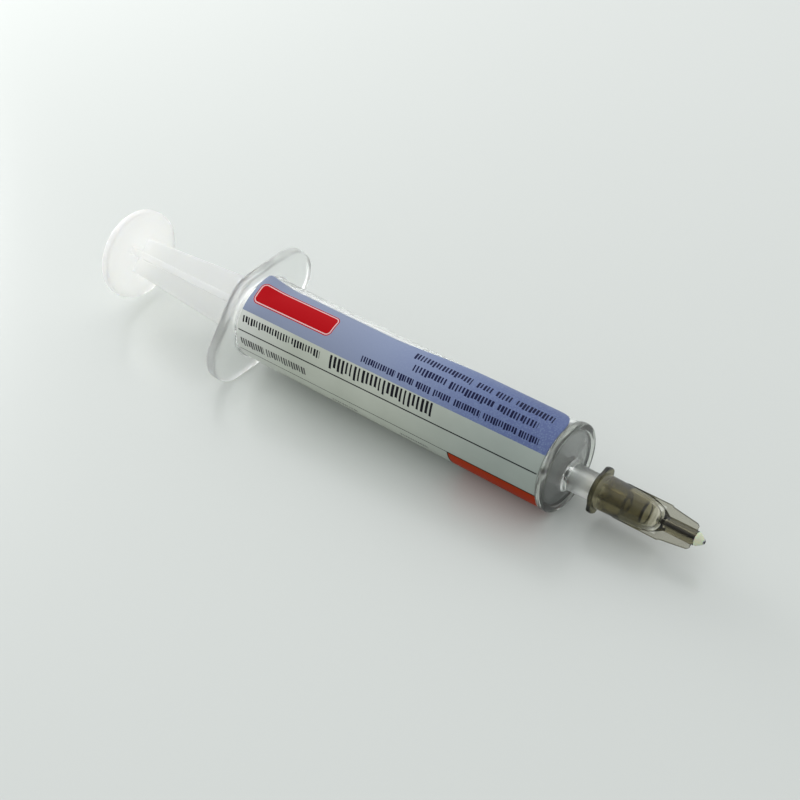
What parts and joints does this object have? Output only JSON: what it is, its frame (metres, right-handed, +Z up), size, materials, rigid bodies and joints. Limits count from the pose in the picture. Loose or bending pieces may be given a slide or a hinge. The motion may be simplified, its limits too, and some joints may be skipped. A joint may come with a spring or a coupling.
{
  "type": "solder paste syringe",
  "caption": "Clear barrel of solder paste with a wrap-round label, a cross-ribbed plunger and a smoke-brown dispensing hub, lying on its rim and flange.",
  "frame": {"origin": "middle of the object's footprint box, on the table it rests on", "axes": "+X along the syringe towards the needle, +Z up from the table, +Y to the side of the label's open gap"},
  "size_m": [0.1186, 0.0254, 0.0179],
  "materials": {
    "barrel": "clear polypropylene, glossy",
    "label": "printed film, satin, with fields of lilac blue, white, orange and red",
    "plunger_rod": "milky natural polypropylene, satin",
    "plunger_seal": "matte black rubber",
    "solder_paste": "dull grey paste of metal powder in flux",
    "needle_hub": "smoke-brown clear polypropylene, glossy",
    "needle_tube": "bright stainless steel",
    "glue_bead": "pale yellow clear glue"
  },
  "bodies": {
    "barrel": {"barrel": "barrel", "label": "label", "solder_paste": "solder_paste"},
    "plunger": {"plunger_rod": "plunger_rod", "plunger_seal": "plunger_seal"},
    "hub": {"needle_hub": "needle_hub", "needle_tube": "needle_tube", "glue_bead": "glue_bead"}
  },
  "joints": [
    {"name": "plunger_slide", "type": "slide", "parent": "barrel", "child": "plunger", "axis": [0.9998, 0, -0.022], "range_m": [-0.036, 0.017], "deforming": ["solder_paste"]},
    {"name": "hub_pull", "type": "slide", "parent": "barrel", "child": "hub", "axis": [0.9998, 0, -0.022], "range_m": [0, 0.012]}
  ]
}
